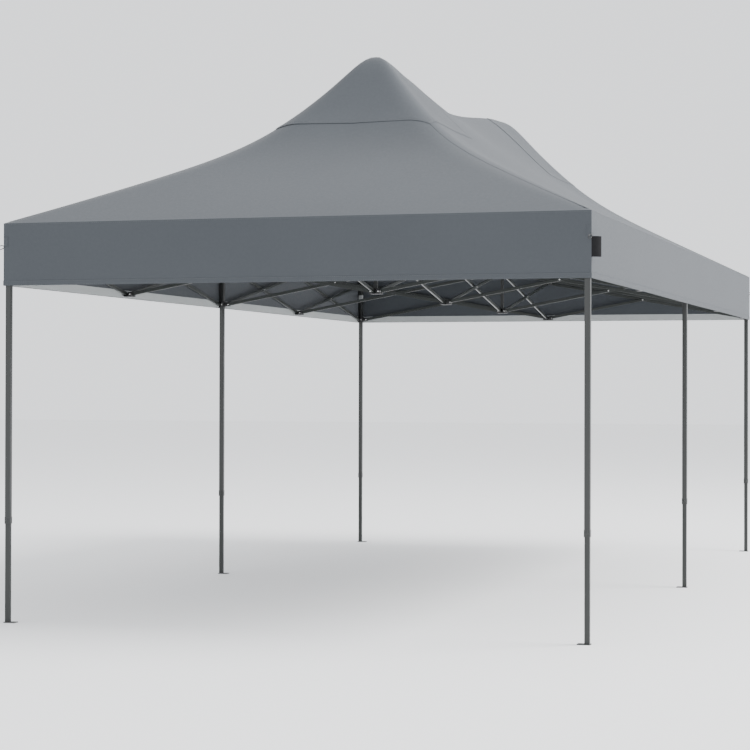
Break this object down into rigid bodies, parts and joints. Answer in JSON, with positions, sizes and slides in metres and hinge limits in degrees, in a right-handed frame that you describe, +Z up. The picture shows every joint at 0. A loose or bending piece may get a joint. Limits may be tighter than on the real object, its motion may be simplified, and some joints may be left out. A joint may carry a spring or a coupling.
{
  "type": "folding marquee",
  "caption": "Pop-up marquee: scissor-truss frame on telescopic legs with peak poles and a hipped cloth canopy with straight valances; the frame folds into a bundle.",
  "frame": {"origin": "on the ground at the middle of the tent's footprint", "axes": "+Z up, the long side along Y, the front short side at -Y"},
  "size_m": [2.992, 5.948, 3],
  "materials": {
    "canopy_cloth": "matte",
    "leg_metal": "satin",
    "inner_leg_metal": "satin",
    "bar_metal": "satin",
    "pole_metal": "satin",
    "hub_plastic": "satin"
  },
  "bodies": {
    "centre_hub": {"centre_hub": "hub_plastic", "canopy": "canopy_cloth"},
    "cross_bar_0_0_a": {"cross_bar_0_0_a": "bar_metal"},
    "cross_bar_0_0_b": {"cross_bar_0_0_b": "bar_metal"},
    "cross_bar_0_1_a": {"cross_bar_0_1_a": "bar_metal"},
    "cross_bar_0_1_b": {"cross_bar_0_1_b": "bar_metal"},
    "cross_bar_1_0_a": {"cross_bar_1_0_a": "bar_metal"},
    "cross_bar_1_0_b": {"cross_bar_1_0_b": "bar_metal"},
    "cross_bar_1_1_a": {"cross_bar_1_1_a": "bar_metal"},
    "cross_bar_1_1_b": {"cross_bar_1_1_b": "bar_metal"},
    "cross_bar_2_0_a": {"cross_bar_2_0_a": "bar_metal"},
    "cross_bar_2_0_b": {"cross_bar_2_0_b": "bar_metal"},
    "cross_bar_2_1_a": {"cross_bar_2_1_a": "bar_metal"},
    "cross_bar_2_1_b": {"cross_bar_2_1_b": "bar_metal"},
    "cross_bar_3_0_a": {"cross_bar_3_0_a": "bar_metal"},
    "cross_bar_3_0_b": {"cross_bar_3_0_b": "bar_metal"},
    "cross_bar_3_1_a": {"cross_bar_3_1_a": "bar_metal"},
    "cross_bar_3_1_b": {"cross_bar_3_1_b": "bar_metal"},
    "cross_bar_4_0_a": {"cross_bar_4_0_a": "bar_metal"},
    "cross_bar_4_0_b": {"cross_bar_4_0_b": "bar_metal"},
    "cross_bar_4_1_a": {"cross_bar_4_1_a": "bar_metal"},
    "cross_bar_4_1_b": {"cross_bar_4_1_b": "bar_metal"},
    "side_bar_0_0_a": {"side_bar_0_0_a": "bar_metal"},
    "side_bar_0_0_b": {"side_bar_0_0_b": "bar_metal"},
    "side_bar_0_1_a": {"side_bar_0_1_a": "bar_metal"},
    "side_bar_0_1_b": {"side_bar_0_1_b": "bar_metal"},
    "side_bar_0_2_a": {"side_bar_0_2_a": "bar_metal"},
    "side_bar_0_2_b": {"side_bar_0_2_b": "bar_metal"},
    "side_bar_0_3_a": {"side_bar_0_3_a": "bar_metal"},
    "side_bar_0_3_b": {"side_bar_0_3_b": "bar_metal"},
    "side_bar_1_0_a": {"side_bar_1_0_a": "bar_metal"},
    "side_bar_1_0_b": {"side_bar_1_0_b": "bar_metal"},
    "side_bar_1_1_a": {"side_bar_1_1_a": "bar_metal"},
    "side_bar_1_1_b": {"side_bar_1_1_b": "bar_metal"},
    "side_bar_1_2_a": {"side_bar_1_2_a": "bar_metal"},
    "side_bar_1_2_b": {"side_bar_1_2_b": "bar_metal"},
    "side_bar_1_3_a": {"side_bar_1_3_a": "bar_metal"},
    "side_bar_1_3_b": {"side_bar_1_3_b": "bar_metal"},
    "side_bar_2_0_a": {"side_bar_2_0_a": "bar_metal"},
    "side_bar_2_0_b": {"side_bar_2_0_b": "bar_metal"},
    "side_bar_2_1_a": {"side_bar_2_1_a": "bar_metal"},
    "side_bar_2_1_b": {"side_bar_2_1_b": "bar_metal"},
    "side_bar_2_2_a": {"side_bar_2_2_a": "bar_metal"},
    "side_bar_2_2_b": {"side_bar_2_2_b": "bar_metal"},
    "side_bar_2_3_a": {"side_bar_2_3_a": "bar_metal"},
    "side_bar_2_3_b": {"side_bar_2_3_b": "bar_metal"},
    "peak_pole_front": {"peak_pole_front": "pole_metal"},
    "peak_pole_back": {"peak_pole_back": "pole_metal"},
    "outer_leg_front_left": {"outer_leg_front_left": "leg_metal"},
    "outer_leg_middle_left": {"outer_leg_middle_left": "leg_metal"},
    "outer_leg_back_left": {"outer_leg_back_left": "leg_metal"},
    "outer_leg_front_right": {"outer_leg_front_right": "leg_metal"},
    "outer_leg_middle_right": {"outer_leg_middle_right": "leg_metal"},
    "outer_leg_back_right": {"outer_leg_back_right": "leg_metal"},
    "inner_leg_front_left": {"inner_leg_front_left": "inner_leg_metal"},
    "inner_leg_middle_left": {"inner_leg_middle_left": "inner_leg_metal"},
    "inner_leg_back_left": {"inner_leg_back_left": "inner_leg_metal"},
    "inner_leg_front_right": {"inner_leg_front_right": "inner_leg_metal"},
    "inner_leg_middle_right": {"inner_leg_middle_right": "inner_leg_metal"},
    "inner_leg_back_right": {"inner_leg_back_right": "inner_leg_metal"}
  },
  "joints": [
    {"name": "frame_fold", "type": "hinge", "parent": "centre_hub", "child": "cross_bar_2_0_b", "pos_m": [0, 0, 1.975], "axis": [0, -1, 0], "range_deg": [0, 70], "deforming": ["canopy"]},
    {"name": "cross_bar_2_0_a_pivot", "type": "hinge", "parent": "cross_bar_2_0_b", "child": "cross_bar_2_0_a", "pos_m": [-0.7155, 0, 1.84425], "axis": [0, 1, 0], "range_deg": [0, 140]},
    {"name": "outer_leg_middle_left_pivot", "type": "hinge", "parent": "cross_bar_2_0_a", "child": "outer_leg_middle_left", "pos_m": [-1.431, 0, 1.975], "axis": [0, -1, 0], "range_deg": [0, 70]},
    {"name": "cross_bar_2_1_a_pivot", "type": "hinge", "parent": "centre_hub", "child": "cross_bar_2_1_a", "pos_m": [0, 0, 1.975], "axis": [0, 1, 0], "range_deg": [0, 70]},
    {"name": "cross_bar_2_1_b_pivot", "type": "hinge", "parent": "cross_bar_2_1_a", "child": "cross_bar_2_1_b", "pos_m": [0.7155, 0, 1.84425], "axis": [0, -1, 0], "range_deg": [0, 140]},
    {"name": "outer_leg_middle_right_pivot", "type": "hinge", "parent": "cross_bar_2_1_b", "child": "outer_leg_middle_right", "pos_m": [1.431, 0, 1.975], "axis": [0, 1, 0], "range_deg": [0, 70]},
    {"name": "side_bar_1_1_b_pivot", "type": "hinge", "parent": "centre_hub", "child": "side_bar_1_1_b", "pos_m": [0, -0.022, 1.975], "axis": [1, 0, 0], "range_deg": [0, 70]},
    {"name": "side_bar_1_1_a_pivot", "type": "hinge", "parent": "side_bar_1_1_b", "child": "side_bar_1_1_a", "pos_m": [0, -0.7375, 1.84425], "axis": [-1, 0, 0], "range_deg": [0, 140]},
    {"name": "peak_pole_front_pivot", "type": "hinge", "parent": "side_bar_1_1_b", "child": "peak_pole_front", "pos_m": [0, -1.453, 1.7135], "axis": [-1, 0, 0], "range_deg": [0, 70]},
    {"name": "side_bar_1_2_a_pivot", "type": "hinge", "parent": "centre_hub", "child": "side_bar_1_2_a", "pos_m": [0, 0.022, 1.975], "axis": [-1, 0, 0], "range_deg": [0, 70]},
    {"name": "side_bar_1_2_b_pivot", "type": "hinge", "parent": "side_bar_1_2_a", "child": "side_bar_1_2_b", "pos_m": [0, 0.7375, 1.84425], "axis": [1, 0, 0], "range_deg": [0, 140]},
    {"name": "peak_pole_back_pivot", "type": "hinge", "parent": "side_bar_1_2_a", "child": "peak_pole_back", "pos_m": [0, 1.453, 1.7135], "axis": [1, 0, 0], "range_deg": [0, 70]},
    {"name": "side_bar_1_0_a_pivot", "type": "hinge", "parent": "peak_pole_front", "child": "side_bar_1_0_a", "pos_m": [0, -1.497, 1.7135], "axis": [-1, 0, 0], "range_deg": [0, 70]},
    {"name": "side_bar_1_0_b_pivot", "type": "hinge", "parent": "side_bar_1_0_a", "child": "side_bar_1_0_b", "pos_m": [0, -2.2125, 1.84425], "axis": [1, 0, 0], "range_deg": [0, 140]},
    {"name": "cross_bar_1_0_a_pivot", "type": "hinge", "parent": "peak_pole_front", "child": "cross_bar_1_0_a", "pos_m": [-0.022, -1.475, 1.7135], "axis": [0, 1, 0], "range_deg": [0, 70]},
    {"name": "cross_bar_1_0_b_pivot", "type": "hinge", "parent": "cross_bar_1_0_a", "child": "cross_bar_1_0_b", "pos_m": [-0.7375, -1.475, 1.84425], "axis": [0, -1, 0], "range_deg": [0, 140]},
    {"name": "cross_bar_1_1_b_pivot", "type": "hinge", "parent": "peak_pole_front", "child": "cross_bar_1_1_b", "pos_m": [0.022, -1.475, 1.7135], "axis": [0, -1, 0], "range_deg": [0, 70]},
    {"name": "cross_bar_1_1_a_pivot", "type": "hinge", "parent": "cross_bar_1_1_b", "child": "cross_bar_1_1_a", "pos_m": [0.7375, -1.475, 1.84425], "axis": [0, 1, 0], "range_deg": [0, 140]},
    {"name": "side_bar_1_3_b_pivot", "type": "hinge", "parent": "peak_pole_back", "child": "side_bar_1_3_b", "pos_m": [0, 1.497, 1.7135], "axis": [1, 0, 0], "range_deg": [0, 70]},
    {"name": "side_bar_1_3_a_pivot", "type": "hinge", "parent": "side_bar_1_3_b", "child": "side_bar_1_3_a", "pos_m": [0, 2.2125, 1.84425], "axis": [-1, 0, 0], "range_deg": [0, 140]},
    {"name": "cross_bar_3_0_a_pivot", "type": "hinge", "parent": "peak_pole_back", "child": "cross_bar_3_0_a", "pos_m": [-0.022, 1.475, 1.7135], "axis": [0, 1, 0], "range_deg": [0, 70]},
    {"name": "cross_bar_3_0_b_pivot", "type": "hinge", "parent": "cross_bar_3_0_a", "child": "cross_bar_3_0_b", "pos_m": [-0.7375, 1.475, 1.84425], "axis": [0, -1, 0], "range_deg": [0, 140]},
    {"name": "cross_bar_3_1_b_pivot", "type": "hinge", "parent": "peak_pole_back", "child": "cross_bar_3_1_b", "pos_m": [0.022, 1.475, 1.7135], "axis": [0, -1, 0], "range_deg": [0, 70]},
    {"name": "cross_bar_3_1_a_pivot", "type": "hinge", "parent": "cross_bar_3_1_b", "child": "cross_bar_3_1_a", "pos_m": [0.7375, 1.475, 1.84425], "axis": [0, 1, 0], "range_deg": [0, 140]},
    {"name": "side_bar_0_1_b_pivot", "type": "hinge", "parent": "outer_leg_middle_left", "child": "side_bar_0_1_b", "pos_m": [-1.475, -0.044, 1.975], "axis": [1, 0, 0], "range_deg": [0, 70]},
    {"name": "side_bar_0_1_a_pivot", "type": "hinge", "parent": "side_bar_0_1_b", "child": "side_bar_0_1_a", "pos_m": [-1.475, -0.7595, 1.84425], "axis": [-1, 0, 0], "range_deg": [0, 140]},
    {"name": "side_bar_0_0_b_pivot", "type": "hinge", "parent": "side_bar_0_1_a", "child": "side_bar_0_0_b", "pos_m": [-1.475, -1.475, 1.975], "axis": [1, 0, 0], "range_deg": [0, 140]},
    {"name": "side_bar_0_0_a_pivot", "type": "hinge", "parent": "side_bar_0_0_b", "child": "side_bar_0_0_a", "pos_m": [-1.475, -2.1905, 1.84425], "axis": [-1, 0, 0], "range_deg": [0, 140]},
    {"name": "outer_leg_front_left_pivot", "type": "hinge", "parent": "side_bar_0_0_a", "child": "outer_leg_front_left", "pos_m": [-1.475, -2.906, 1.975], "axis": [1, 0, 0], "range_deg": [0, 70]},
    {"name": "side_bar_0_2_a_pivot", "type": "hinge", "parent": "outer_leg_middle_left", "child": "side_bar_0_2_a", "pos_m": [-1.475, 0.044, 1.975], "axis": [-1, 0, 0], "range_deg": [0, 70]},
    {"name": "side_bar_0_2_b_pivot", "type": "hinge", "parent": "side_bar_0_2_a", "child": "side_bar_0_2_b", "pos_m": [-1.475, 0.7595, 1.84425], "axis": [1, 0, 0], "range_deg": [0, 140]},
    {"name": "side_bar_0_3_a_pivot", "type": "hinge", "parent": "side_bar_0_2_b", "child": "side_bar_0_3_a", "pos_m": [-1.475, 1.475, 1.975], "axis": [-1, 0, 0], "range_deg": [0, 140]},
    {"name": "side_bar_0_3_b_pivot", "type": "hinge", "parent": "side_bar_0_3_a", "child": "side_bar_0_3_b", "pos_m": [-1.475, 2.1905, 1.84425], "axis": [1, 0, 0], "range_deg": [0, 140]},
    {"name": "outer_leg_back_left_pivot", "type": "hinge", "parent": "side_bar_0_3_b", "child": "outer_leg_back_left", "pos_m": [-1.475, 2.906, 1.975], "axis": [-1, 0, 0], "range_deg": [0, 70]},
    {"name": "side_bar_2_1_b_pivot", "type": "hinge", "parent": "outer_leg_middle_right", "child": "side_bar_2_1_b", "pos_m": [1.475, -0.044, 1.975], "axis": [1, 0, 0], "range_deg": [0, 70]},
    {"name": "side_bar_2_1_a_pivot", "type": "hinge", "parent": "side_bar_2_1_b", "child": "side_bar_2_1_a", "pos_m": [1.475, -0.7595, 1.84425], "axis": [-1, 0, 0], "range_deg": [0, 140]},
    {"name": "side_bar_2_0_b_pivot", "type": "hinge", "parent": "side_bar_2_1_a", "child": "side_bar_2_0_b", "pos_m": [1.475, -1.475, 1.975], "axis": [1, 0, 0], "range_deg": [0, 140]},
    {"name": "side_bar_2_0_a_pivot", "type": "hinge", "parent": "side_bar_2_0_b", "child": "side_bar_2_0_a", "pos_m": [1.475, -2.1905, 1.84425], "axis": [-1, 0, 0], "range_deg": [0, 140]},
    {"name": "outer_leg_front_right_pivot", "type": "hinge", "parent": "side_bar_2_0_a", "child": "outer_leg_front_right", "pos_m": [1.475, -2.906, 1.975], "axis": [1, 0, 0], "range_deg": [0, 70]},
    {"name": "side_bar_2_2_a_pivot", "type": "hinge", "parent": "outer_leg_middle_right", "child": "side_bar_2_2_a", "pos_m": [1.475, 0.044, 1.975], "axis": [-1, 0, 0], "range_deg": [0, 70]},
    {"name": "side_bar_2_2_b_pivot", "type": "hinge", "parent": "side_bar_2_2_a", "child": "side_bar_2_2_b", "pos_m": [1.475, 0.7595, 1.84425], "axis": [1, 0, 0], "range_deg": [0, 140]},
    {"name": "side_bar_2_3_a_pivot", "type": "hinge", "parent": "side_bar_2_2_b", "child": "side_bar_2_3_a", "pos_m": [1.475, 1.475, 1.975], "axis": [-1, 0, 0], "range_deg": [0, 140]},
    {"name": "side_bar_2_3_b_pivot", "type": "hinge", "parent": "side_bar_2_3_a", "child": "side_bar_2_3_b", "pos_m": [1.475, 2.1905, 1.84425], "axis": [1, 0, 0], "range_deg": [0, 140]},
    {"name": "outer_leg_back_right_pivot", "type": "hinge", "parent": "side_bar_2_3_b", "child": "outer_leg_back_right", "pos_m": [1.475, 2.906, 1.975], "axis": [-1, 0, 0], "range_deg": [0, 70]},
    {"name": "cross_bar_0_0_a_pivot", "type": "hinge", "parent": "outer_leg_front_left", "child": "cross_bar_0_0_a", "pos_m": [-1.431, -2.95, 1.975], "axis": [0, 1, 0], "range_deg": [0, 70]},
    {"name": "cross_bar_0_0_b_pivot", "type": "hinge", "parent": "cross_bar_0_0_a", "child": "cross_bar_0_0_b", "pos_m": [-0.7155, -2.95, 1.84425], "axis": [0, -1, 0], "range_deg": [0, 140]},
    {"name": "cross_bar_0_1_b_pivot", "type": "hinge", "parent": "outer_leg_front_right", "child": "cross_bar_0_1_b", "pos_m": [1.431, -2.95, 1.975], "axis": [0, -1, 0], "range_deg": [0, 70]},
    {"name": "cross_bar_0_1_a_pivot", "type": "hinge", "parent": "cross_bar_0_1_b", "child": "cross_bar_0_1_a", "pos_m": [0.7155, -2.95, 1.84425], "axis": [0, 1, 0], "range_deg": [0, 140]},
    {"name": "cross_bar_4_0_a_pivot", "type": "hinge", "parent": "outer_leg_back_left", "child": "cross_bar_4_0_a", "pos_m": [-1.431, 2.95, 1.975], "axis": [0, 1, 0], "range_deg": [0, 70]},
    {"name": "cross_bar_4_0_b_pivot", "type": "hinge", "parent": "cross_bar_4_0_a", "child": "cross_bar_4_0_b", "pos_m": [-0.7155, 2.95, 1.84425], "axis": [0, -1, 0], "range_deg": [0, 140]},
    {"name": "cross_bar_4_1_b_pivot", "type": "hinge", "parent": "outer_leg_back_right", "child": "cross_bar_4_1_b", "pos_m": [1.431, 2.95, 1.975], "axis": [0, -1, 0], "range_deg": [0, 70]},
    {"name": "cross_bar_4_1_a_pivot", "type": "hinge", "parent": "cross_bar_4_1_b", "child": "cross_bar_4_1_a", "pos_m": [0.7155, 2.95, 1.84425], "axis": [0, 1, 0], "range_deg": [0, 140]},
    {"name": "leg_slide_front_left", "type": "slide", "parent": "outer_leg_front_left", "child": "inner_leg_front_left", "axis": [0, 0, 1], "range_m": [0, 0.45]},
    {"name": "leg_slide_middle_left", "type": "slide", "parent": "outer_leg_middle_left", "child": "inner_leg_middle_left", "axis": [0, 0, 1], "range_m": [0, 0.45]},
    {"name": "leg_slide_back_left", "type": "slide", "parent": "outer_leg_back_left", "child": "inner_leg_back_left", "axis": [0, 0, 1], "range_m": [0, 0.45]},
    {"name": "leg_slide_front_right", "type": "slide", "parent": "outer_leg_front_right", "child": "inner_leg_front_right", "axis": [0, 0, 1], "range_m": [0, 0.45]},
    {"name": "leg_slide_middle_right", "type": "slide", "parent": "outer_leg_middle_right", "child": "inner_leg_middle_right", "axis": [0, 0, 1], "range_m": [0, 0.45]},
    {"name": "leg_slide_back_right", "type": "slide", "parent": "outer_leg_back_right", "child": "inner_leg_back_right", "axis": [0, 0, 1], "range_m": [0, 0.45]}
  ],
  "couplings": [
    {"joint": "cross_bar_2_0_a_pivot", "follows": "frame_fold", "ratio": 2},
    {"joint": "outer_leg_middle_left_pivot", "follows": "frame_fold", "ratio": 1},
    {"joint": "cross_bar_2_1_a_pivot", "follows": "frame_fold", "ratio": 1},
    {"joint": "cross_bar_2_1_b_pivot", "follows": "frame_fold", "ratio": 2},
    {"joint": "outer_leg_middle_right_pivot", "follows": "frame_fold", "ratio": 1},
    {"joint": "side_bar_1_1_b_pivot", "follows": "frame_fold", "ratio": 1},
    {"joint": "side_bar_1_1_a_pivot", "follows": "frame_fold", "ratio": 2},
    {"joint": "peak_pole_front_pivot", "follows": "frame_fold", "ratio": 1},
    {"joint": "side_bar_1_2_a_pivot", "follows": "frame_fold", "ratio": 1},
    {"joint": "side_bar_1_2_b_pivot", "follows": "frame_fold", "ratio": 2},
    {"joint": "peak_pole_back_pivot", "follows": "frame_fold", "ratio": 1},
    {"joint": "side_bar_1_0_a_pivot", "follows": "frame_fold", "ratio": 1},
    {"joint": "side_bar_1_0_b_pivot", "follows": "frame_fold", "ratio": 2},
    {"joint": "cross_bar_1_0_a_pivot", "follows": "frame_fold", "ratio": 1},
    {"joint": "cross_bar_1_0_b_pivot", "follows": "frame_fold", "ratio": 2},
    {"joint": "cross_bar_1_1_b_pivot", "follows": "frame_fold", "ratio": 1},
    {"joint": "cross_bar_1_1_a_pivot", "follows": "frame_fold", "ratio": 2},
    {"joint": "side_bar_1_3_b_pivot", "follows": "frame_fold", "ratio": 1},
    {"joint": "side_bar_1_3_a_pivot", "follows": "frame_fold", "ratio": 2},
    {"joint": "cross_bar_3_0_a_pivot", "follows": "frame_fold", "ratio": 1},
    {"joint": "cross_bar_3_0_b_pivot", "follows": "frame_fold", "ratio": 2},
    {"joint": "cross_bar_3_1_b_pivot", "follows": "frame_fold", "ratio": 1},
    {"joint": "cross_bar_3_1_a_pivot", "follows": "frame_fold", "ratio": 2},
    {"joint": "side_bar_0_1_b_pivot", "follows": "frame_fold", "ratio": 1},
    {"joint": "side_bar_0_1_a_pivot", "follows": "frame_fold", "ratio": 2},
    {"joint": "side_bar_0_0_b_pivot", "follows": "frame_fold", "ratio": 2},
    {"joint": "side_bar_0_0_a_pivot", "follows": "frame_fold", "ratio": 2},
    {"joint": "outer_leg_front_left_pivot", "follows": "frame_fold", "ratio": 1},
    {"joint": "side_bar_0_2_a_pivot", "follows": "frame_fold", "ratio": 1},
    {"joint": "side_bar_0_2_b_pivot", "follows": "frame_fold", "ratio": 2},
    {"joint": "side_bar_0_3_a_pivot", "follows": "frame_fold", "ratio": 2},
    {"joint": "side_bar_0_3_b_pivot", "follows": "frame_fold", "ratio": 2},
    {"joint": "outer_leg_back_left_pivot", "follows": "frame_fold", "ratio": 1},
    {"joint": "side_bar_2_1_b_pivot", "follows": "frame_fold", "ratio": 1},
    {"joint": "side_bar_2_1_a_pivot", "follows": "frame_fold", "ratio": 2},
    {"joint": "side_bar_2_0_b_pivot", "follows": "frame_fold", "ratio": 2},
    {"joint": "side_bar_2_0_a_pivot", "follows": "frame_fold", "ratio": 2},
    {"joint": "outer_leg_front_right_pivot", "follows": "frame_fold", "ratio": 1},
    {"joint": "side_bar_2_2_a_pivot", "follows": "frame_fold", "ratio": 1},
    {"joint": "side_bar_2_2_b_pivot", "follows": "frame_fold", "ratio": 2},
    {"joint": "side_bar_2_3_a_pivot", "follows": "frame_fold", "ratio": 2},
    {"joint": "side_bar_2_3_b_pivot", "follows": "frame_fold", "ratio": 2},
    {"joint": "outer_leg_back_right_pivot", "follows": "frame_fold", "ratio": 1},
    {"joint": "cross_bar_0_0_a_pivot", "follows": "frame_fold", "ratio": 1},
    {"joint": "cross_bar_0_0_b_pivot", "follows": "frame_fold", "ratio": 2},
    {"joint": "cross_bar_0_1_b_pivot", "follows": "frame_fold", "ratio": 1},
    {"joint": "cross_bar_0_1_a_pivot", "follows": "frame_fold", "ratio": 2},
    {"joint": "cross_bar_4_0_a_pivot", "follows": "frame_fold", "ratio": 1},
    {"joint": "cross_bar_4_0_b_pivot", "follows": "frame_fold", "ratio": 2},
    {"joint": "cross_bar_4_1_b_pivot", "follows": "frame_fold", "ratio": 1},
    {"joint": "cross_bar_4_1_a_pivot", "follows": "frame_fold", "ratio": 2}
  ]
}
